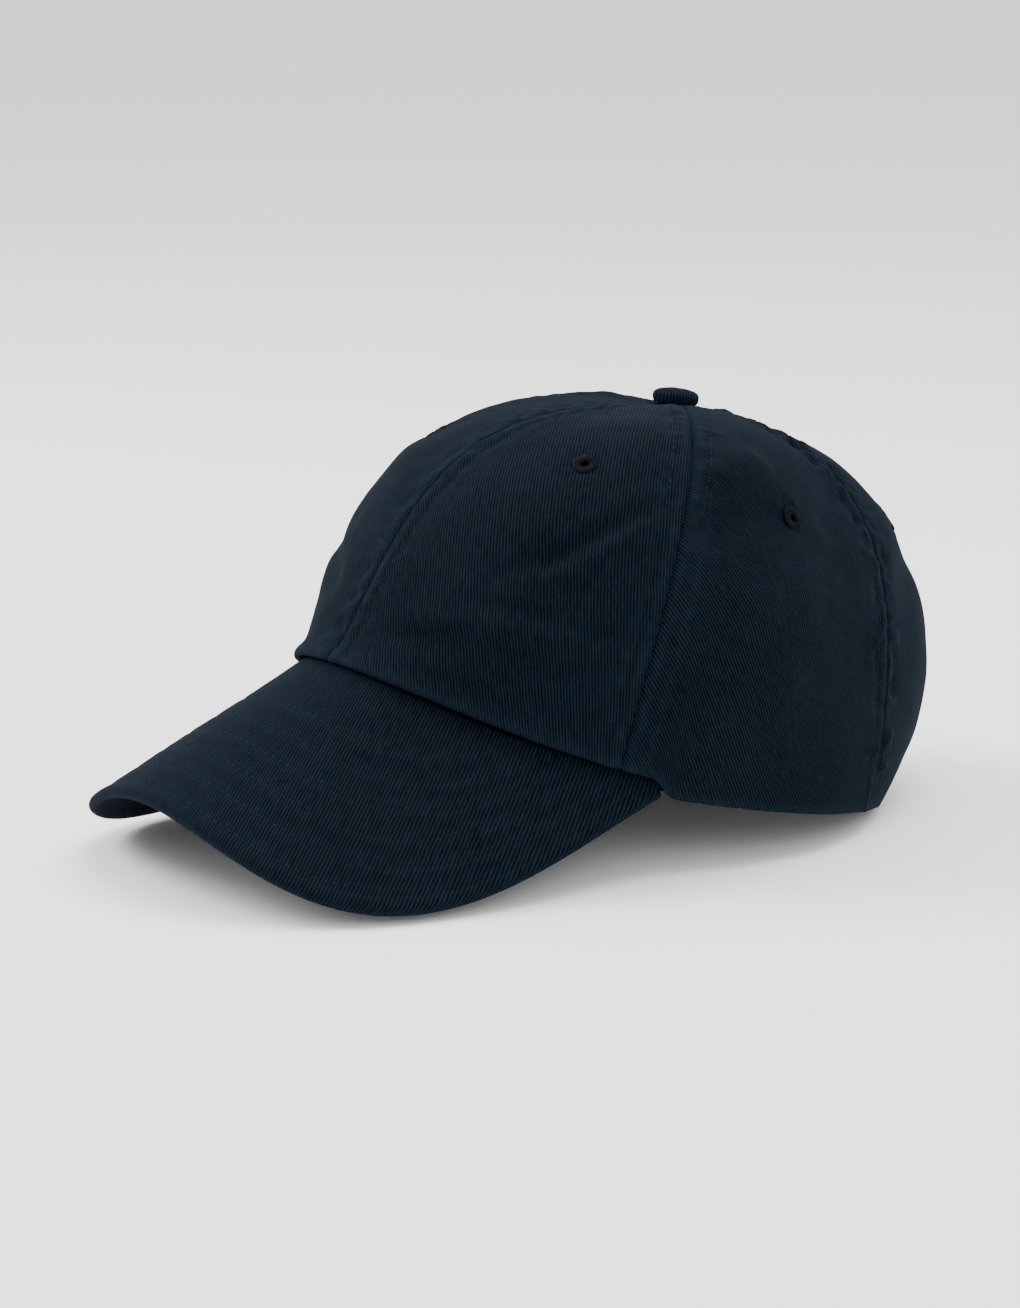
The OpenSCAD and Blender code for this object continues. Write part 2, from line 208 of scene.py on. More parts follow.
# Cotton twill, garment washed: a matt cloth with steep ribs, faded on its ridges, with a soft bloom
def washedTwill(name, look):
    material, tree = newMaterial(name)
    uv = addNode(tree, "ShaderNodeUVMap", {"uv_map": "weave"}).outputs["UV"]
    place = addNode(tree, "ShaderNodeTexCoord").outputs["Object"]
    rib = addNode(tree, "ShaderNodeTexWave", {
        "wave_type": "BANDS", "bands_direction": "X", "wave_profile": "SIN",
        "Scale": 0.31416 / (look["rib"] * mm), "Distortion": 1.4, "Detail": 2.0, "Detail Scale": 0.5,
    }, {"Vector": uv}).outputs["Fac"]
    stretched = addNode(tree, "ShaderNodeMapping", {"Scale": (900, 190, 1)}, {"Vector": uv}).outputs[0]
    yarn = addNode(tree, "ShaderNodeTexNoise", {"Scale": 1.0, "Detail": 3.0, "Roughness": 0.6},
                   {"Vector": stretched}).outputs["Fac"]
    fleck = addNode(tree, "ShaderNodeTexNoise", {"Scale": 1500.0, "Detail": 1.0}, {"Vector": uv}).outputs["Fac"]
    yarns = addNode(tree, "ShaderNodeMath", {"operation": "MULTIPLY_ADD", 1: 0.75, 2: -0.12},
                    {0: yarn}).outputs[0]
    ribs = addNode(tree, "ShaderNodeMath", {"operation": "MULTIPLY_ADD", 1: 0.55},
                   {0: rib, 2: yarns}).outputs[0]
    height = addNode(tree, "ShaderNodeMath", {"operation": "MULTIPLY_ADD", 1: 0.3},
                     {0: fleck, 2: ribs}).outputs[0]
    fade = addNode(tree, "ShaderNodeTexNoise", {"Scale": 26.0, "Detail": 4.0, "Roughness": 0.55},
                   {"Vector": place}).outputs["Fac"]
    cloud = addNode(tree, "ShaderNodeMath", {"operation": "MULTIPLY_ADD", 1: 0.34, 2: -0.17},
                    {0: fade}).outputs[0]
    tone = addNode(tree, "ShaderNodeMath", {"operation": "ADD", "use_clamp": True},
                   {0: height, 1: cloud}).outputs[0]
    colour = addNode(tree, "ShaderNodeValToRGB", {"stops": [(0.26, look["valley"]), (0.56, look["body"]), (0.95, look["ridge"])]}, {"Fac": tone}).outputs[0]
    wear = addNode(tree, "ShaderNodeAttribute", {"attribute_name": "wear"}).outputs["Fac"]
    spotted = addNode(tree, "ShaderNodeMath", {"operation": "MULTIPLY", "use_clamp": True},
                      {0: wear, 1: height}).outputs[0]
    worn = addNode(tree, "ShaderNodeMixRGB", {"Color2": hexColour(look["worn"])},
                   {"Fac": spotted, "Color1": colour}).outputs["Color"]
    bump = addNode(tree, "ShaderNodeBump", {"Strength": 0.75, "Distance": 0.3 * mm}, {"Height": height})
    finishMaterial(tree, {
        "Roughness": 0.92, "Specular IOR Level": 0.04, "Sheen Weight": 0.034, "Sheen Roughness": 0.42,
        "Sheen Tint": hexColour(look["sheen"])}, {"Base Color": worn, "Normal": bump.outputs[0]})
    return material


# Spun polyester sewing thread: round, slightly glossy strands twisted together
def sewingThread(name, dark, light):
    material, tree = newMaterial(name)
    place = addNode(tree, "ShaderNodeTexCoord").outputs["Object"]
    twist = addNode(tree, "ShaderNodeTexNoise", {"Scale": 2200.0, "Detail": 2.0}, {"Vector": place}).outputs["Fac"]
    colour = addNode(tree, "ShaderNodeValToRGB", {"stops": [(0.3, dark), (0.7, light)]}, {"Fac": twist}).outputs[0]
    bump = addNode(tree, "ShaderNodeBump", {"Strength": 0.4, "Distance": 0.08 * mm}, {"Height": twist})
    finishMaterial(tree, {"Roughness": 0.68, "Specular IOR Level": 0.06, "Sheen Weight": 0.015,
                          "Sheen Tint": hexColour("#5d86b5")},
                   {"Base Color": colour, "Normal": bump.outputs[0]})
    return material


# Brass, chemically darkened and then buffed, so its high spots are bright and its hollows brown
def antiqueBrass(name):
    material, tree = newMaterial(name)
    place = addNode(tree, "ShaderNodeTexCoord").outputs["Object"]
    stretched = addNode(tree, "ShaderNodeMapping", {"Scale": (3500, 3500, 260)}, {"Vector": place}).outputs[0]
    brushed = addNode(tree, "ShaderNodeTexNoise", {"Scale": 1.0, "Detail": 3.0}, {"Vector": stretched}).outputs["Fac"]
    stain = addNode(tree, "ShaderNodeTexNoise", {"Scale": 420.0, "Detail": 5.0}, {"Vector": place}).outputs["Fac"]
    colour = addNode(tree, "ShaderNodeValToRGB", {"stops": [(0.32, "#4c3b22"), (0.55, "#8d7242"), (0.75, "#b2935a")]}, {"Fac": stain}).outputs[0]
    rough = addNode(tree, "ShaderNodeMapRange", {"To Min": 0.28, "To Max": 0.5}, {"Value": brushed}).outputs[0]
    bump = addNode(tree, "ShaderNodeBump", {"Strength": 0.25, "Distance": 0.05 * mm}, {"Height": brushed})
    finishMaterial(tree, {"Metallic": 1.0}, {"Base Color": colour, "Roughness": rough, "Normal": bump.outputs[0]})
    return material


# Nickel-plated steel, drawn wire and pressed cap
def platedSteel(name):
    material, tree = newMaterial(name)
    place = addNode(tree, "ShaderNodeTexCoord").outputs["Object"]
    grain = addNode(tree, "ShaderNodeTexNoise", {"Scale": 900.0, "Detail": 4.0}, {"Vector": place}).outputs["Fac"]
    colour = addNode(tree, "ShaderNodeValToRGB", {"stops": [(0.3, "#8f9498"), (0.7, "#b9bec2")]}, {"Fac": grain}).outputs[0]
    rough = addNode(tree, "ShaderNodeMapRange", {"To Min": 0.22, "To Max": 0.4}, {"Value": grain}).outputs[0]
    finishMaterial(tree, {"Metallic": 1.0}, {"Base Color": colour, "Roughness": rough})
    return material


# Polyethylene board, moulded with a fine grain
def brimBoardPlastic(name):
    material, tree = newMaterial(name)
    place = addNode(tree, "ShaderNodeTexCoord").outputs["Object"]
    grain = addNode(tree, "ShaderNodeTexNoise", {"Scale": 1500.0, "Detail": 2.0}, {"Vector": place}).outputs["Fac"]
    colour = addNode(tree, "ShaderNodeValToRGB", {"stops": [(0.3, "#c9c5b8"), (0.7, "#d8d4c6")]}, {"Fac": grain}).outputs[0]
    bump = addNode(tree, "ShaderNodeBump", {"Strength": 0.3, "Distance": 0.05 * mm}, {"Height": grain})
    finishMaterial(tree, {"Roughness": 0.55}, {"Base Color": colour, "Normal": bump.outputs[0]})
    return material


# Woven satin ribbon: long floats that shine along one way
def satinRibbon(name):
    material, tree = newMaterial(name)
    uv = addNode(tree, "ShaderNodeUVMap", {"uv_map": "weave"}).outputs["UV"]
    float_ = addNode(tree, "ShaderNodeTexWave", {
        "wave_type": "BANDS", "bands_direction": "Y", "Scale": 0.31416 / (0.5 * mm), "Distortion": 0.8},
        {"Vector": uv}).outputs["Fac"]
    colour = addNode(tree, "ShaderNodeValToRGB", {"stops": [(0.2, "#b9b9b3"), (0.8, "#dededa")]}, {"Fac": float_}).outputs[0]
    bump = addNode(tree, "ShaderNodeBump", {"Strength": 0.4, "Distance": 0.1 * mm}, {"Height": float_})
    finishMaterial(tree, {"Roughness": 0.42, "Sheen Weight": 0.2}, {"Base Color": colour, "Normal": bump.outputs[0]})
    return material


twill = washedTwill("washedTwill", twillLook)
liningTwill = washedTwill("liningTwill", dict(twillLook, rib=0.9, body="#04090f"))
seamTape = washedTwill("cottonTape", dict(twillLook, rib=0.8, valley="#010305", body="#060c13"))
thread = sewingThread("navyThread", "#03070d", "#182634")
eyeletThread = sewingThread("eyeletThread", "#000102", "#03070c")
brass = antiqueBrass("antiqueBrass")
steel = platedSteel("platedSteel")
board = brimBoardPlastic("brimBoardPlastic")
satin = satinRibbon("satinRibbon")
print("cap: finishes made")


# ---------- cloth pieces ----------
def showPiece(name, bm, material, body="cap", nodes=()):
    for f in bm.faces:
        f.smooth = True
    mesh = bpy.data.meshes.new(name)
    bm.to_mesh(mesh)
    bm.free()
    piece = bpy.data.objects.new(name, mesh)
    bpy.context.scene.collection.objects.link(piece)
    mesh.materials.append(material)
    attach(piece, body)
    if nodes:
        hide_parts(*nodes)
    return piece


# A grid of cloth: place(i, j) gives a point in the frame, its place in the flat cloth, in metres, and its wear
def clothGrid(columns, rows, place, keep=None, mirrored=False):
    bm = bmesh.new()
    bmesh.ops.create_grid(bm, x_segments=columns, y_segments=rows, size=0.5)
    weave = bm.loops.layers.uv.new("weave")
    wearLayer = bm.verts.layers.float.new("wear")
    flat, gone = {}, []
    for v in bm.verts:
        i, j = round((v.co.x + 0.5) * columns), round((v.co.y + 0.5) * rows)
        v.co, flat[v], v[wearLayer] = place(i, j)
        if keep and not keep(i, j):
            gone.append(v)
    for f in bm.faces:
        for loop in f.loops:
            loop[weave].uv = flat[loop.vert]
    if gone:
        bmesh.ops.delete(bm, geom=gone, context="VERTS")
    if mirrored:
        bmesh.ops.reverse_faces(bm, faces=bm.faces)
    return bm


def thicken(piece, thickness):
    wall = piece.modifiers.new("thickness", "SOLIDIFY")
    wall.thickness = thickness * mm
    wall.offset = -1


def turned(u, v, degrees):  # the flat cloth turned so that its ribs run along v
    c, s = math.cos(math.radians(degrees)), math.sin(math.radians(degrees))
    return (u * c + v * s) * mm, (-u * s + v * c) * mm


panelCut = {
    "columns": 84, "rows": 158, "thickness": 0.55,
    "roll": 0.62, "rollFront": 0.7, "turn": 9.0, "hemRows": 9,  # the folded hem
    "topShare": 0.985, "flare": 2.3, "lift": 3.4, "liftEnd": 2.8,  # lift clears the brim's cloth
    "ribs": {"front_left": 19, "side_left": 40, "back_left": 32, "front_right": 19, "side_right": 24, "back_right": 24},
}
seamLook = {"valley": 0.7, "pad": 0.28, "row": 6.2, "groove": 0.2, "pucker": 0.6}
eyeletPlaces = {"front": (32.5, 0.571), "side": (90.6, 0.489), "back": (156, 0.6)}
# Soft creases: from and to as (angle, share of the height), depth and half-width in millimetres
creases = [
    ((12, 0.10), (46, 0.12), -2.3, 3.6), ((16, 0.15), (44, 0.17), 1.3, 4.0), ((24, 0.21), (50, 0.19), -1.6, 3.4),
    ((8, 0.05), (30, 0.06), 1.0, 5.0), ((33, 0.30), (50, 0.44), -2.4, 3.4), ((37, 0.28), (56, 0.43), 1.5, 4.2),
    ((24, 0.24), (36, 0.36), -1.2, 4.5), ((61, 0.40), (88, 0.50), -3.0, 6.5), ((64, 0.54), (84, 0.62), 1.6, 7.0),
    ((62, 0.18), (84, 0.30), 1.3, 7.0), ((70, 0.30), (100, 0.36), 1.2, 9.0), ((96, 0.20), (126, 0.30), -1.5, 8.0),
    ((104, 0.50), (124, 0.66), -1.5, 7.0), ((-12, 0.16), (-40, 0.28), -1.9, 5.5), ((-6, 0.40), (-40, 0.50), 1.6, 7.0),
    ((-70, 0.3), (-110, 0.4), -1.9, 8.0), ((140, 0.45), (170, 0.55), -1.6, 8.0), ((-140, 0.5), (-165, 0.42), -1.7, 8.0),
]
creaseLines = [(crownPoint(*a), crownPoint(*b), depth, width) for a, b, depth, width in creases]


def creaseRelief(p):
    total = 0.0
    for a, b, depth, width in creaseLines:
        d = b - a
        s = min(max((p - a).dot(d) / d.length_squared, -0.15), 1.15)
        far = (p - a - d * s).length
        if far < 3 * width:
            total += depth * bell(far, width) * smooth((s + 0.15) / 0.35) * smooth((1.15 - s) / 0.35)
    return total


def seamRelief(d, run, seed, valley, pucker):  # relief beside a seam, d away from it and run along it
    look = seamLook
    wave = noise.noise(Vector((run / 4.6, seed, 0.075 * d)))
    slow = noise.noise(Vector((run / 19.0, seed, 1.7)))
    strength = look["pucker"] * pucker * (0.75 + 0.9 * abs(slow))
    return (-look["valley"] * valley * bell(d, 0.7) + look["pad"] * bell(d - 3.3, 2.4)
            - look["groove"] * bell(d - look["row"], 0.75)
            + 1.5 * strength * wave * bell(d - 4.6, 4.2) * (1 - bell(d, 1.6)))


eyeletCentres = [(crownPoint(sign * a, t), crownNormal(sign * a, t))
                 for a, t in eyeletPlaces.values() for sign in (1, -1)]


def eyeletRelief(p):  # the cloth drawn in and puckered round an eyelet
    for centre, n in eyeletCentres:
        d = p - centre
        if d.length < 13:
            around = math.atan2(d.cross(Vector((0, 0, 1))).dot(n), d.z)
            uneven = noise.noise(Vector((2.2 * math.cos(around), 2.2 * math.sin(around), centre.x)))
            return 0.9 * uneven * bell(d.length - 5.6, 2.0) - 0.4 * bell(d.length, 6.0)
    return 0.0


def softRelief(p):  # the cloth's own slack
    return (1.15 * noise.noise(p / 33.0) + 0.42 * noise.noise(p / 14.0 + Vector((7, 3, 1)))
            + 0.10 * noise.noise(p / 5.5 + Vector((1, 8, 5))))


# The cloth at an angle, negative on the wearer's right, and a share of the height: (plain point, normal, relief, wear)
@functools.lru_cache(maxsize=None)
def clothAt(angle, t):
    p, n = crownPoint(angle, t), crownNormal(angle, t)
    wide, run, far = perDegree(angle, t), heightAt(angle, t), abs(angle)
    relief, used, nearest = 0.0, 0.0, 1e9
    for seam in (0, seamFront, seamBack, 180):
        d = abs(far - seam) * wide
        nearest = min(nearest, d)
        if d < 16:
            seed = 3.1 * seam + 9.7 * (far > seam) + 50 * (angle < 0)
            relief += (seamRelief(d, run, seed, 0.5 if seam == 0 else 1.0, 2.6 if seam == seamBack else 1.2)
                       * (0.25 + 0.75 * smooth((0.99 - t) / 0.16)))
            used += (0.40 * bell(d - 2.6, 1.5) + 0.25 * bell(d - 8.0, 1.6)) * (0.4 + abs(2 * noise.noise(p / 4.0)))
    relief += smooth(nearest / 7.0) * smooth((1.02 - t) / 0.12) * (softRelief(p) + creaseRelief(p))
    relief += eyeletRelief(p)
    if relief < 0:  # room for the strap behind the cloth
        relief *= 1 - 0.93 * smooth((far - 106) / 14) * smooth((38 - run) / 10)
    return p, n, relief, min(used, 1.0)


def hemFront(angle):  # 1 over the brim, 0 behind its ends
    return smooth((brimShape["end"] + 4 - abs(angle)) / 8)


seamFront, seamBack = capShape["seamFront"], capShape["seamBack"]


def openingEdge(k):  # the rear opening's edge, from the hem to the top of its arch
    turn = math.radians(90 * k)
    return 180 - capShape["openingHalf"] * math.cos(turn), capShape["openingShare"] * math.sin(turn)


def makePanel(part, side, a0, a1):
    cut = panelCut
    sign = -1 if side == "right" else 1
    columns, rows, hemRows = cut["columns"], cut["rows"], cut["hemRows"]
    middle = (a0 + a1) / 2
    lows, highs = [], []
    for i in range(columns + 1):
        # Columns lie closer together beside the seams
        f = 0.45 * i / columns + 0.55 * (1 - math.cos(math.pi * i / columns)) / 2
        split = 0.42 if part == "back" else 1
        if f <= split:
            last = 180 - capShape["openingHalf"] if part == "back" else a1
            lows.append((a0 + (last - a0) * f / split, 0.0))
        else:
            lows.append(openingEdge((f - split) / (1 - split)))
        highs.append((a0 + (a1 - a0) * f, cut["topShare"]))

    def surface(i, f):
        (la, lt), (ha, ht) = lows[i], highs[i]
        angle, t = la + (ha - la) * f, lt + (ht - lt) * f
        p, n, relief, used = clothAt(sign * angle, t)
        h = heightAt(angle, t)
        low = 1 if lt == 0 else 0
        relief += cut["flare"] * low * hemFront(angle) * bell(h, 5.0)
        return angle, t, p, n, relief, min(used + 0.5 * bell(h, 2.0) * low, 1)

    edges = [surface(i, 0) for i in range(columns + 1)]
    starts = [p + n * relief for angle, t, p, n, relief, used in edges]
    inward = []
    for i in range(columns + 1):
        run = starts[min(i + 1, columns)] - starts[max(i - 1, 0)]
        w = edges[i][3].cross(run).normalized()
        inward.append(w if w.dot(crownPoint(sign * middle, 0.6) - starts[i]) > 0 else -w)
    over = [hemFront(e[0]) if lows[i][1] == 0 else 0 for i, e in enumerate(edges)]

    def place(i, j):
        roll = cut["roll"] + cut["rollFront"] * over[i]
        lift = inward[i] * (roll + (cut["lift"] + cut["liftEnd"] * smooth(abs(edges[i][0]) / 42)) * over[i])
        if j >= hemRows:
            f = ((j - hemRows) / (rows - hemRows)) ** 1.08
            angle, t, p, n, relief, used = surface(i, f)
            point = p + n * relief + lift * (1 - f) ** 6
            v = heightAt(middle, t)
        else:
            angle, t, p, n, relief, used = edges[i]
            back, arc = hemRows - j, 6
            if back <= arc:
                swing = math.pi * back / arc
                point = starts[i] - n * roll + lift + n * roll * math.cos(swing) - inward[i] * roll * math.sin(swing)
            else:  # the turned-in allowance follows the cloth above it
                f = cut["turn"] * (back - arc) / (hemRows - arc) / heightAt(middle, 1)
                above, t1, p1, n1, relief1, used1 = surface(i, f)
                point = p1 + n1 * (relief1 - 2 * roll - 0.2) + lift * (1 - f) ** 6
            v = heightAt(middle, t) - 1.2 * back
        u = (angle - middle) * perDegree(middle, t) * sign
        return inFrame(point), turned(u, v, cut["ribs"][part + "_" + side]), used

    hole = crownPoint(sign * eyeletPlaces[part][0], eyeletPlaces[part][1])

    def keep(i, j):
        if j < hemRows:
            return True
        angle, t, p, n, relief, used = surface(i, ((j - hemRows) / (rows - hemRows)) ** 1.08)
        return (p - hole).length > 2.6

    bm = clothGrid(columns, rows, place, keep, mirrored=sign < 0)
    node = part + "_panel_" + side
    piece = showPiece(part + "Panel" + side.title(), bm, twill, nodes=[node])
    thicken(piece, cut["thickness"])
    # The flat cut: the plain curve's width and height, with 10 mm allowances all round
    shares = [(k + 0.5) / 20 for k in range(20)]
    step = heightAt(middle, 1) / 20
    widths = [perDegree(middle, t) * (a1 - a0 - (capShape["openingHalf"] * max(0, 1 - t / 0.32) ** 0.5
                                                 if part == "back" else 0)) for t in shares]
    heightAt(middle, 1) + 20
    sum(widths) * step + 10 * heightAt(middle, 1)
    return piece


for side in ("left", "right"):
    makePanel("front", side, 0, seamFront)
    makePanel("side", side, seamFront, seamBack)
    makePanel("back", side, seamBack, 180)
print("cap: crown panels made")


# ---------- stitches: each one is a small thread ellipsoid ----------
stitchCut = {"length": 2.3, "pitch": 3.1, "width": 0.2, "thick": 0.17}


def addStitch(bm, a, b, up, wide=None):
    look = stitchCut
    run = b - a
    x = run.normalized()
    y = up.cross(x).normalized()
    z = x.cross(y)
    half = Matrix.Diagonal((run.length / 2 + 0.1, wide or look["width"], look["thick"])) * mm
    basis = (Matrix((x, y, z)).transposed() @ half).to_4x4()
    basis.translation = inFrame((a + b) / 2)
    bmesh.ops.create_icosphere(bm, subdivisions=1, radius=1, matrix=basis)


def stitchLine(bm, points, look=stitchCut):  # points: (place, normal) at small steps, in millimetres
    marks = [0.0]
    for k in range(1, len(points)):
        marks.append(marks[-1] + (points[k][0] - points[k - 1][0]).length)

    def at(d):
        k = min(max(bisect.bisect_left(marks, d), 1), len(marks) - 1)
        f = (d - marks[k - 1]) / max(marks[k] - marks[k - 1], 1e-6)
        return points[k - 1][0].lerp(points[k][0], f), points[k][1]

    for k in range(int(marks[-1] / look["pitch"])):
        a, n = at(k * look["pitch"])
        b, n = at(k * look["pitch"] + look["length"])
        addStitch(bm, a, b, n)


bm = bmesh.new()
for sign in (1, -1):
    for a0, a1 in ((0, seamFront), (seamFront, seamBack), (seamBack, 180)):
        for seam, way in ((a0, 1), (a1, -1)):
            line = []
            first = capShape["openingShare"] + 0.03 if seam == 180 else 0.03
            for k in range(90):
                t = first + (0.955 - first) * k / 89
                angle = sign * (seam + way * min(seamLook["row"] / perDegree(seam, t), 0.47 * (a1 - a0)))
                p, n, relief, used = clothAt(angle, t)
                line.append((p + n * (relief + 0.04), n))
            stitchLine(bm, line)
stitches = showPiece("panelStitches", bm, thread)
print("cap: panel stitches made")


# ---------- brim ----------
brimCut = {
    "columns": 170, "rows": 74, "wrapRows": 6, "thickness": 0.3, "under": 4.5, "tail": 5,
    "rows mm": [6.0, 15.0, 24.0, 33.0, 42.0, 51.0], "groove": 0.26, "ribs": -27,
}


def brimInner(u):
    x, y = hemPlan(u * brimShape["end"])
    r = math.hypot(x, y)
    return Vector((x * (1 + 1 / r), y * (1 + 1 / r)))


def brimOuter(u):
    r, s = min(abs(u), 1), max(1 - abs(u), 0)
    tip = brimInner(1) + Vector((-0.2, 0.4))
    q = (tip * r ** 3 + (tip + Vector((2, -brimShape["side"]))) * 3 * r * r * s
         + Vector((brimShape["corner"], -brimShape["reach"])) * 3 * r * s * s + Vector((0, -brimShape["reach"])) * s ** 3)
    q += Vector((-0.93, 0.36)) * 60 * max(abs(u) - 1, 0)  # past the tip it turns in under the crown
    return Vector((q.x if u >= 0 else -q.x, q.y))


def brimUp(x, y):
    across = Vector((1, 0, 10 * (brimHeight(x + 0.05, y) - brimHeight(x - 0.05, y))))
    return across.cross(Vector((0, 1, 10 * (brimHeight(x, y + 0.05) - brimHeight(x, y - 0.05))))).normalized()


@functools.lru_cache(maxsize=None)
def brimRim(u):  # the outline and its outward direction in plan
    along = brimOuter(u + 0.004) - brimOuter(u - 0.004)
    out = Vector((along.y, -along.x)).normalized()
    return brimOuter(u), -out if u * out.x < -0.2 or (abs(out.x) < 0.9 and out.y > 0 and abs(u) < 0.9) else out


def brimRelief(x, y, inset, top):
    total = 0.32 * noise.noise(Vector((x / 30, y / 30, 3.0 + top))) + 0.10 * noise.noise(Vector((x / 7, y / 7, top)))
    run = math.atan2(x, -y) * 130
    for row in brimCut["rows mm"]:
        d = inset - row
        if abs(d) < 6:
            total -= brimCut["groove"] * bell(d, 0.8)
            total += 0.16 * noise.noise(Vector((run / 4.0, row, top))) * bell(abs(d) - 1.6, 1.8)
    return total + 0.25 * bell(inset - 2.4, 1.6)


def brimSurface(u, f, top):  # f from 0 under the crown to 1 where the edge turns over
    rim, out = brimRim(round(u, 5))
    inner = brimInner(min(max(u, -1), 1))
    inner = inner * (1 - brimCut["under"] / inner.length)
    end = rim - out * brimShape["half"]
    p = inner.lerp(end, f)
    return p, rim, out, brimShape["half"] + (end - p).length * (1 - 0.0 * top)


def makeCover(name, node, top):
    cut = brimCut
    sign = 1 if top else -1
    flatRows = cut["rows"] - cut["wrapRows"]
    half = brimShape["half"]

    def place(i, j):
        u = (2 * i / cut["columns"] - 1) * 1.06
        p, rim, out, inset = brimSurface(u, min(j / flatRows, 1), top)
        n = brimUp(p.x, p.y) * sign
        base = Vector((p.x, p.y, brimHeight(p.x, p.y)))
        used = 0.0
        for row in cut["rows mm"]:
            used += 0.22 * bell(abs(inset - row) - 1.4, 0.9)
        if j <= flatRows:
            point = base + n * (half + brimRelief(p.x, p.y, inset, top))
            flat = (p.x, -p.y * 1.1)
        else:
            swing = math.radians(90) * (j - flatRows) / cut["wrapRows"]
            outward = Vector((out.x, out.y, 0))
            outward = (outward - n * outward.dot(n)).normalized()
            relief = brimRelief(p.x, p.y, half, top)
            point = base + n * (half + relief) * math.cos(swing) + outward * half * math.sin(swing)
            flat = (p.x + out.x * half * swing, (-p.y - out.y * half * swing) * 1.1)
            used += 0.5 * math.sin(swing) ** 2
        return inFrame(point), turned(flat[0], flat[1], cut["ribs"] * sign), min(used, 1)

    bm = clothGrid(cut["columns"], cut["rows"], place, mirrored=top)
    piece = showPiece(name, bm, twill, nodes=[node])
    thicken(piece, cut["thickness"])
    return piece


makeCover("brimTopCloth", "brim_cover_top", True)
makeCover("brimUnderCloth", "brim_cover_under", False)

bm = bmesh.new()
for top in (True, False):
    for row in brimCut["rows mm"]:
        line = []
        for k in range(241):
            u = (k / 120 - 1) * 0.985
            rim, out = brimRim(round(u, 4))
            p = rim - out * row
            plan = math.degrees(math.atan2(p.x, -p.y))
            if abs(plan) < brimShape["end"] and p.length < Vector(hemPlan(plan)).length + 1.5:
                continue
            if abs(p.x) > 80 or p.y > brimInner(1).y - 2:
                continue
            n = brimUp(p.x, p.y) * (1 if top else -1)
            base = Vector((p.x, p.y, brimHeight(p.x, p.y)))
            line.append((base + n * (brimShape["half"] + brimRelief(p.x, p.y, row, top) + 0.04), n))
        if len(line) > 4:
            stitchLine(bm, line)
showPiece("brimStitches", bm, thread)

boardCut = {"inset": 1.9, "thickness": 1.5, "columns": 140, "rows": 16, "end": 0.93}


def boardPlace(i, j):
    u = (2 * i / boardCut["columns"] - 1) * boardCut["end"]
    rim, out = brimRim(round(u, 5))
    p = brimInner(u).lerp(rim - out * boardCut["inset"], j / boardCut["rows"])
    return inFrame((p.x, p.y, brimHeight(p.x, p.y))), (p.x * mm, p.y * mm), 0


boardPiece = showPiece("brimBoard", clothGrid(boardCut["columns"], boardCut["rows"], boardPlace, mirrored=True), board,
                       nodes=["brim_board"])
thicken(boardPiece, boardCut["thickness"])
boardPiece.modifiers["thickness"].offset = 0
print("cap: brim made")


# ---------- eyelets: satin stitch wound over a ring ----------
eyeletLook = {"hole": 1.3, "outer": 4.2, "height": 0.75, "strands": 34, "groove": 0.26, "steps": 238}


def makeEyelet(part, side):
    look = eyeletLook
    sign = -1 if side == "right" else 1
    angle, t = eyeletPlaces[part]
    p, n, relief, used = clothAt(sign * angle, t)
    n = n.copy()
    middle, half = (look["hole"] + look["outer"]) / 2, (look["outer"] - look["hole"]) / 2
    bm = bmesh.new()
    ring = []
    for k in range(13):  # over the cloth, from the hole's wall to the outer edge
        swing = math.radians(215 - 250 * k / 12)
        ring.append(bm.verts.new((middle + half * math.cos(swing), 0, look["height"] * math.sin(swing))))
    edges = [bm.edges.new(ring[k:k + 2]) for k in range(12)]
    bmesh.ops.spin(bm, geom=ring + edges, cent=(0, 0, 0), axis=(0, 0, 1), angle=2 * math.pi, steps=look["steps"],
                   use_merge=True)
    bmesh.ops.remove_doubles(bm, verts=bm.verts, dist=0.002)
    bmesh.ops.recalc_face_normals(bm, faces=bm.faces)
    for v in bm.verts:
        r, around = math.hypot(v.co.x, v.co.y), math.atan2(v.co.y, v.co.x)
        place = (r - middle) / half
        turns = look["strands"] * (around + 0.10 * place) / (2 * math.pi)
        strand = math.floor(turns)
        uneven = noise.noise(Vector((strand * 1.7, sign * 3.0 + angle, 0)))
        crest = abs(math.sin(math.pi * (turns - strand))) ** 0.6
        v.co.z += look["groove"] * (crest - 0.6) + 0.12 * uneven
        grow = 1 + (0.05 * uneven * max(place, 0) + 0.012 * crest * place)
        v.co.x *= grow
        v.co.y *= grow
    side3 = Vector((0, 0, 1)).cross(n).normalized()
    basis = Matrix((side3, n.cross(side3), n)).transposed().to_4x4()
    for v in bm.verts:
        v.co = inFrame(basis @ v.co + p + n * (relief + 0.05))
    showPiece(part + "Eyelet" + side.title(), bm, eyeletThread, nodes=["eyelet_" + part + "_" + side])


for part in eyeletPlaces:
    for side in ("left", "right"):
        makeEyelet(part, side)

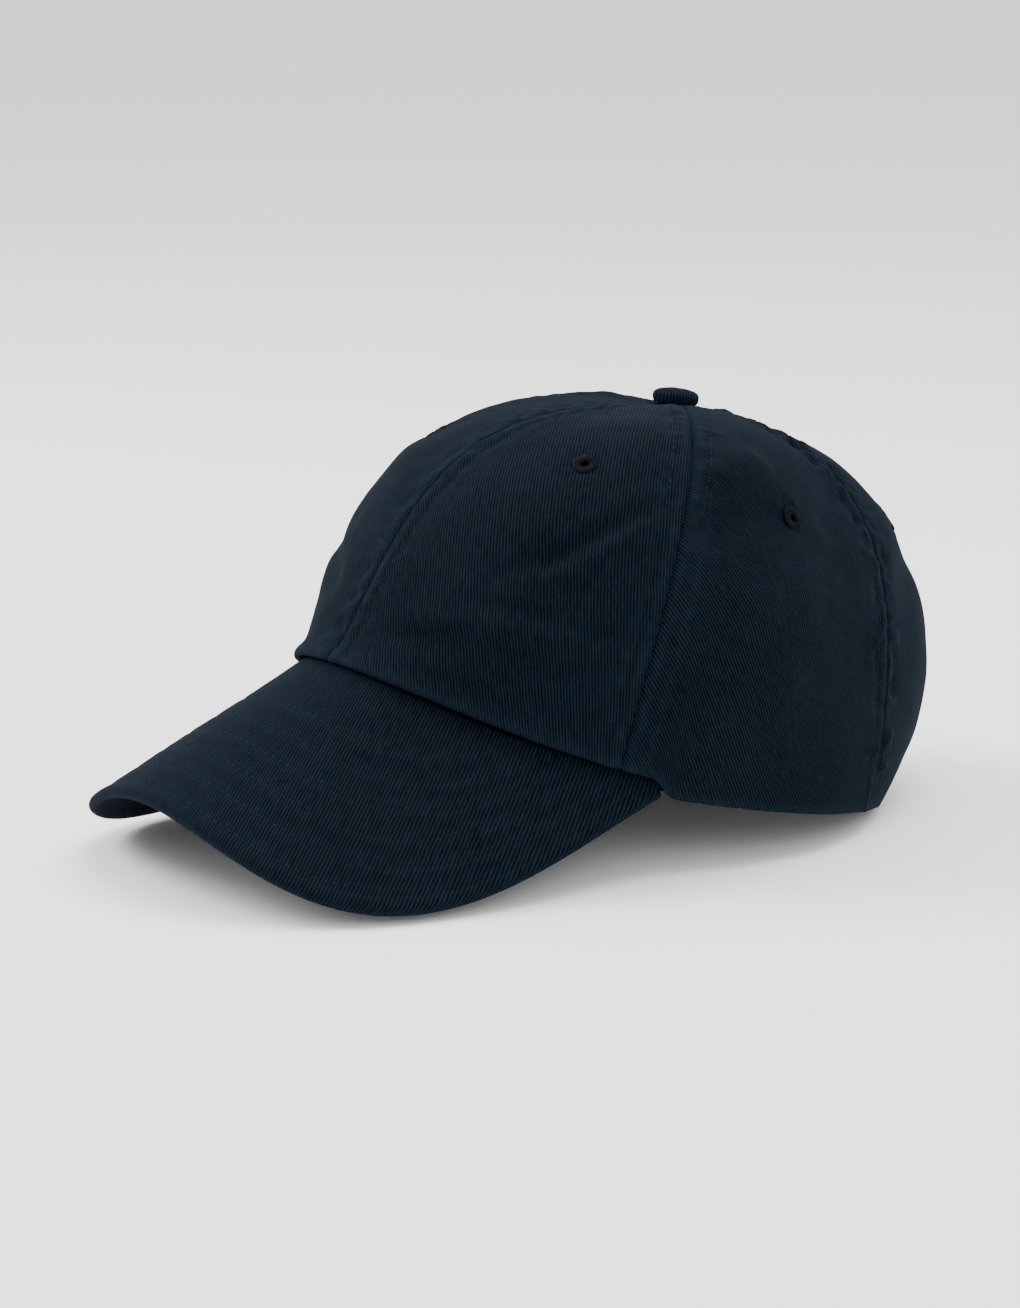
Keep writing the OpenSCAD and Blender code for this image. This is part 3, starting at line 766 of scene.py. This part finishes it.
# ---------- the covered button ----------
buttonLook = {"radius": 7.7, "height": 5.3, "tilt": 7.7, "lift": 0.9, "skirt": 2.5, "steps": 120}
bm = bmesh.new()
section = []
for k in range(15):  # the dome, the rolled edge and the cloth tucked under
    swing = math.radians(90 * k / 14)
    section.append((buttonLook["radius"] * math.sin(swing) ** 0.85,
                    buttonLook["skirt"] + (buttonLook["height"] - buttonLook["skirt"]) * math.cos(swing) ** 0.9))
for k in range(1, 9):
    swing = math.radians(100 * k / 8)
    section.append((buttonLook["radius"] - 1.3 * (1 - math.cos(swing)), buttonLook["skirt"] * (1 - math.sin(swing)) + 0.02))
verts = [bm.verts.new((x, 0, z)) for x, z in section]
edges = [bm.edges.new(verts[k:k + 2]) for k in range(len(verts) - 1)]
bmesh.ops.spin(bm, geom=verts + edges, cent=(0, 0, 0), axis=(0, 0, 1), angle=2 * math.pi,
               steps=buttonLook["steps"], use_merge=True)
bmesh.ops.remove_doubles(bm, verts=bm.verts, dist=0.002)
bmesh.ops.recalc_face_normals(bm, faces=bm.faces)
weave = bm.loops.layers.uv.new("weave")
wearLayer = bm.verts.layers.float.new("wear")
tilt = Matrix.Rotation(math.radians(-buttonLook["tilt"]), 4, "X")
for f in bm.faces:
    for loop in f.loops:
        loop[weave].uv = turned(loop.vert.co.x, loop.vert.co.y, 62)
for v in bm.verts:
    r, around = math.hypot(v.co.x, v.co.y), math.atan2(v.co.y, v.co.x)
    edge = smooth((r / buttonLook["radius"] - 0.6) / 0.4)
    grow = 1 + 0.018 * edge * noise.noise(Vector((math.cos(around) * 3, math.sin(around) * 3, v.co.z / 2)))
    v[wearLayer] = 0.35 * bell(r - buttonLook["radius"], 1.2)
    v.co = Vector((v.co.x * grow, v.co.y * grow, v.co.z + 0.15 * noise.noise(v.co / 3) + buttonLook["lift"]))
    v.co = inFrame(tilt @ v.co + Vector((0, capShape["lean"], capShape["top"])))
button = showPiece("buttonCloth", bm, twill, nodes=["button_cover"])
thicken(button, 0.35)
print("cap: eyelets and button made")

# ---------- seam tapes and the rear opening's binding ----------
tapeCut = {"width": 18.0, "thickness": 0.5, "depth": 1.55, "top": 0.92, "columns": 12, "rows": 90}


def underCloth(angle, t, depth):  # a point under the cloth, clear of its folds
    p, n, relief, used = clothAt(angle, t)
    return p - n * (depth + max(0, -relief - 0.15)), relief


def makeTape(name, node, angle, start):
    cut = tapeCut

    def place(i, j):
        t = start + (cut["top"] - start) * j / cut["rows"]
        across = 2 * i / cut["columns"] - 1
        half = min(cut["width"] / 2 / perDegree(angle, t), 12.5)
        at = angle + across * half
        at = at - 360 if at > 180 else at
        p, relief = underCloth(at, t, cut["depth"] - 0.18 * bell(abs(across) - 0.45, 0.12))
        return inFrame(p), turned(across * cut["width"] / 2, heightAt(angle, t), 0), 0.3 * bell(abs(across) - 1, 0.1)

    piece = showPiece(name, clothGrid(cut["columns"], cut["rows"], place), seamTape, nodes=[node])
    thicken(piece, cut["thickness"])
    length = heightAt(angle, cut["top"]) - heightAt(angle, start)


for side, sign in (("Left", 1), ("Right", -1)):
    makeTape("tapeSide" + side, "tape_side_" + side.lower(), sign * seamFront, shareAt(seamFront, 10))
    makeTape("tapeRear" + side, "tape_rear_" + side.lower(), sign * seamBack, shareAt(seamBack, 28))
makeTape("tapeFront", "tape_front", 0, shareAt(0, 10))
makeTape("tapeBack", "tape_back", 180, capShape["openingShare"] + 0.07)

bindingCut = {"columns": 130, "rows": 6, "depth": 1.55, "thickness": 0.5, "start": 0.1, "wide": 4.4}


def bindingPlace(i, j):
    cut = bindingCut
    s = 2 * i / cut["columns"] - 1
    k = cut["start"] + (1 - cut["start"]) * (1 - abs(s))
    out = j / cut["rows"]
    turn = math.radians(90 * k)
    angle = 180 - (capShape["openingHalf"] + 0.3 + cut["wide"] * out) * math.cos(turn)
    t = (capShape["openingShare"] + 0.003 + 0.04 * out) * math.sin(turn)
    p, relief = underCloth(-angle if s >= 0 else angle, t, cut["depth"])
    return inFrame(p), turned(s * 62, out * 7.5, 0), 0.2


bindingPiece = showPiece("openingBinding", clothGrid(bindingCut["columns"], bindingCut["rows"], bindingPlace), seamTape,
                         nodes=["opening_binding"])
thicken(bindingPiece, bindingCut["thickness"])

# ---------- sweatband and its label ----------
bandCut = {"end": 146.0, "low": 1.5, "high": 32.0, "thickness": 1.1, "columns": 300, "rows": 18,
           "labelFrom": 129.0, "labelTo": 142.0, "labelLow": 6.0, "labelHigh": 26.0}


def bandDepth(angle):
    return 2.4 + 4.3 * smooth((abs(angle) - 100) / 26) + 1.3 * hemFront(angle)


def bandPlace(i, j):
    cut = bandCut
    angle = cut["end"] * (2 * i / cut["columns"] - 1)
    h = cut["low"] + (cut["high"] - cut["low"]) * j / cut["rows"]
    t = shareAt(angle, h)
    dent = 0.25 * bell(h - cut["high"] + 2.5, 0.8) + 0.25 * bell(h - cut["low"] - 3, 0.9)
    p, relief = underCloth(round(angle, 3), round(t, 5), bandDepth(angle) - dent)
    p -= clothAt(round(angle, 3), round(t, 5))[1] * 0.25 * noise.noise(p / 9.0)
    run = angle * 1.62
    return inFrame(p), turned(run, h, 25), 0.35 * bell(h - cut["high"], 1.0)


band = showPiece("sweatbandCloth", clothGrid(bandCut["columns"], bandCut["rows"], bandPlace), liningTwill,
                 nodes=["sweatband"])
thicken(band, bandCut["thickness"])


def labelPlace(i, j):
    cut = bandCut
    angle = round(cut["labelFrom"] + (cut["labelTo"] - cut["labelFrom"]) * i / 20, 3)
    h = cut["labelLow"] + (cut["labelHigh"] - cut["labelLow"]) * j / 20
    p, relief = underCloth(angle, round(shareAt(angle, h), 5), bandDepth(angle) + 1.62 + 0.12 * math.sin(i * 0.5) * j / 20)
    return inFrame(p), ((angle - cut["labelFrom"]) * 1.5 * mm, h * mm), 0


label = showPiece("careLabel", clothGrid(20, 20, labelPlace), satin, nodes=["care_label"])
thicken(label, 0.35)
print("cap: linings made")

# ---------- rear strap ----------
strapCut = {
    "axisY": 29.8, "tilt": 12.0, "radius": 70.8, "cone": 10.1, "height": 15.7, "width": 16.0, "half": 0.78,
    "root": 58.0, "tail": -51.0, "columns": 200, "corner": 0.7, "row": 2.6,
}


def strapPoint(b, up, out):  # b degrees to the wearer's left of the back, up across the strap, out from its middle
    cut = strapCut
    c, s = math.cos(math.radians(cut["cone"])), math.sin(math.radians(cut["cone"]))
    r, z = cut["radius"] + up * s + out * c, cut["height"] + up * c - out * s
    p = Vector((r * math.sin(math.radians(b)), r * math.cos(math.radians(b)), z))
    return Matrix.Rotation(math.radians(-cut["tilt"]), 3, "X") @ p + Vector((0, cut["axisY"], 0))


def roundedSection(low, high, half, corner, count=5):  # a closed band's outline, as (up, out) pairs
    points = []
    for cu, cv, start in ((high - corner, half - corner, 0), (low + corner, half - corner, 90),
                          (low + corner, corner - half, 180), (high - corner, corner - half, 270)):
        for k in range(count):
            swing = math.radians(start + 90 * k / (count - 1))
            points.append((cu + corner * math.cos(swing), cv + corner * math.sin(swing)))
        if start in (0, 180):  # points along the flat face
            a, b = points[-1], (low + corner if start == 0 else high - corner)
            points += [(a[0] + (b - a[0]) * k / 12, a[1]) for k in range(1, 12)]
    return points


# A closed band of cloth: its outline repeated along it, then its ends filled
def makeBand(name, node, material, section, columns, pointAt, body):
    count = len(section)
    mesh = clothGrid(columns, count, lambda i, j: pointAt(i / columns, *section[j % count]))
    bmesh.ops.remove_doubles(mesh, verts=mesh.verts, dist=1e-6)
    bmesh.ops.holes_fill(mesh, edges=[e for e in mesh.edges if e.is_boundary])
    bmesh.ops.recalc_face_normals(mesh, faces=mesh.faces)
    return showPiece(name, mesh, material, body=body, nodes=[node])


def strapAlong(f, up, out):
    cut = strapCut
    b = cut["root"] + (cut["tail"] - cut["root"]) * f
    for row in (cut["row"], cut["width"] - cut["row"]):
        out -= math.copysign(0.16 * bell(up - row, 0.6), out)
    narrow = 1 - 0.35 * smooth((f - 0.985) / 0.015)
    middle = cut["width"] / 2
    up = middle + (up - middle) * narrow
    p = strapPoint(b, up, out)
    p += (strapPoint(b, up, out + 1) - p) * 0.10 * noise.noise(p / 6.0)
    return inFrame(p), turned(f * 139, up + out, 0), 0.4 * bell(abs(up - middle) - middle, 0.8)


strapSection = roundedSection(0, strapCut["width"], strapCut["half"], strapCut["corner"])
strap = makeBand("rearStrap", "rear_strap", twill, strapSection, strapCut["columns"], strapAlong, "strap")
bm = bmesh.new()
for row in (strapCut["row"], strapCut["width"] - strapCut["row"]):
    for out in (-1, 1):
        line = []
        for k in range(101):
            b = strapCut["root"] - 1 + (strapCut["tail"] + 2 - strapCut["root"]) * k / 100
            p = strapPoint(b, row, out * (strapCut["half"] - 0.12))
            line.append((p, (strapPoint(b, row, out) - strapPoint(b, row, 0)).normalized()))
        stitchLine(bm, line)
showPiece("strapStitches", bm, thread, body="strap")


# ---------- clasp and its cloth tab ----------
def claspFrame():
    cut = strapCut
    return (Matrix.Translation((0, cut["axisY"], 0)) @ Matrix.Rotation(math.radians(-cut["tilt"]), 4, "X")
            @ Matrix.Rotation(math.radians(112), 4, "Z") @ Matrix.Translation((cut["radius"], 0, cut["height"]))
            @ Matrix.Rotation(math.radians(cut["cone"]), 4, "Y") @ Matrix.Translation((0, 0, cut["width"] / 2))
            @ Matrix.Rotation(math.radians(90), 4, "Y") @ Matrix.Rotation(math.radians(90), 4, "Z"))


tabCut = {"bar": (13.6, -4.2), "half": 7.0, "radius": 1.3, "from": -37.0, "to": -46.0, "rows": 40}
frameOfClasp = claspFrame()
loopSide = []
for k in range(15):  # round the bar, open towards the tab
    swing = math.radians(40 + 280 * k / 14)
    loopSide.append((tabCut["bar"][0] + tabCut["radius"] * math.cos(swing), tabCut["bar"][1] + tabCut["radius"] * math.sin(swing)))


def tabPlace(i, j):
    x, z = loopSide[i] if 0 <= i < 15 else (0, 0)
    y = tabCut["half"] * (2 * j / tabCut["rows"] - 1)
    if i >= 15:
        b = tabCut["from"] + (tabCut["to"] - tabCut["from"]) * (i - 14) / 12
        return inFrame(strapPoint(b, strapCut["width"] / 2 + y, -2.5)), turned(i * 0.7, y, 0), 0.2
    return inFrame(frameOfClasp @ Vector((x, y, z))), turned(i * 0.7, y, 0), 0.2


tab = showPiece("claspTab", clothGrid(26, 40, tabPlace), twill, nodes=["clasp_tab"])
thicken(tab, 0.6)


# ---------- hardware from the design, with its edges broken ----------
def hardware(node, name, material, body="cap", edge=0.14):
    source = bpy.data.objects[node]
    bm = bmesh.new()
    bm.from_mesh(source.data)
    bmesh.ops.remove_doubles(bm, verts=bm.verts, dist=1e-6)
    bmesh.ops.dissolve_limit(bm, angle_limit=math.radians(1), verts=bm.verts, edges=bm.edges)
    for f in bm.faces:
        f.smooth = True
    mesh = bpy.data.meshes.new(name)
    bm.to_mesh(mesh)
    bm.free()
    piece = bpy.data.objects.new(name, mesh)
    bpy.context.scene.collection.objects.link(piece)
    mesh.materials.append(material)
    if edge:
        rounded = piece.modifiers.new("edges", "BEVEL")
        rounded.width = edge * mm
        rounded.segments = 2
        rounded.limit_method = "ANGLE"
        rounded.angle_limit = math.radians(40)
        rounded.harden_normals = True
    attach(piece, body)
    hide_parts(node)
    return piece


hardware("clasp_frame", "claspFrame", brass)
hardware("clasp_lever", "claspLever", brass, body="lever")
hardware("clasp_pin", "claspPin", steel, edge=0.1)
hardware("button_shell", "buttonShell", steel, edge=0.05)
hardware("button_rivet", "buttonRivet", steel, edge=0.1)
hardware("button_back", "buttonBack", seamTape, edge=0.15)
print("cap: strap and clasp made")

# ---------- a plain pale floor and soft studio light ----------
floorMaterial, tree = newMaterial("studioFloor")
finishMaterial(tree, {"Base Color": hexColour("#f4f4f4"), "Roughness": 0.9}, {})
bm = bmesh.new()
bmesh.ops.create_grid(bm, x_segments=1, y_segments=1, size=6)
floorMesh = bpy.data.meshes.new("studioFloor")
bm.to_mesh(floorMesh)
bm.free()
floor = bpy.data.objects.new("studioFloor", floorMesh)
floor.location.z = -0.0003
floorMesh.materials.append(floorMaterial)
bpy.context.scene.collection.objects.link(floor)

world = bpy.data.worlds.new("studioAir")
world.use_nodes = True
world.node_tree.nodes["Background"].inputs[0].default_value = hexColour("#ffffff")
world.node_tree.nodes["Background"].inputs[1].default_value = 1.5
bpy.context.scene.world = world

lamps = {  # place and size in metres, power in watts
    "keySoftbox": ((-1.1, -0.9, 1.25), 0.9, 39),
    "fillSoftbox": ((1.6, -0.5, 0.7), 1.2, 13.5),
    "topSoftbox": ((0.1, 0.4, 1.6), 1.1, 24),
}
aim = Vector((0, 0, 0.07))
for name, (place, size, power) in lamps.items():
    lamp = bpy.data.lights.new(name, "AREA")
    lamp.size = size
    lamp.energy = power
    holder = bpy.data.objects.new(name, lamp)
    holder.location = place
    holder.rotation_euler = (aim - Vector(place)).to_track_quat("-Z", "Y").to_euler()
    bpy.context.scene.collection.objects.link(holder)

shot = {"turn": 54.479, "height": 11.814, "distance": 1285.08, "across": 25.664, "up": 7.449, "lens": 107.9}
a, e = math.radians(shot["turn"]), math.radians(shot["height"])
back = Vector((math.sin(a) * math.cos(e), -math.cos(a) * math.cos(e), math.sin(e)))
right = Vector((math.cos(a), math.sin(a), 0))
up = back.cross(right)
camera = bpy.data.objects.new("camera", bpy.data.cameras.new("camera"))
camera.data.lens = shot["lens"]
camera.data.sensor_width = 36
camera.data.clip_start = 0.05
camera.data.clip_end = 30
spot = (Vector((0, setY, 60 + setZ)) - right * shot["across"] - up * shot["up"] + back * shot["distance"]) * mm
camera.matrix_world = Matrix.Translation(spot) @ Matrix((right, up, back)).transposed().to_4x4()
bpy.context.scene.collection.objects.link(camera)
bpy.context.scene.camera = camera
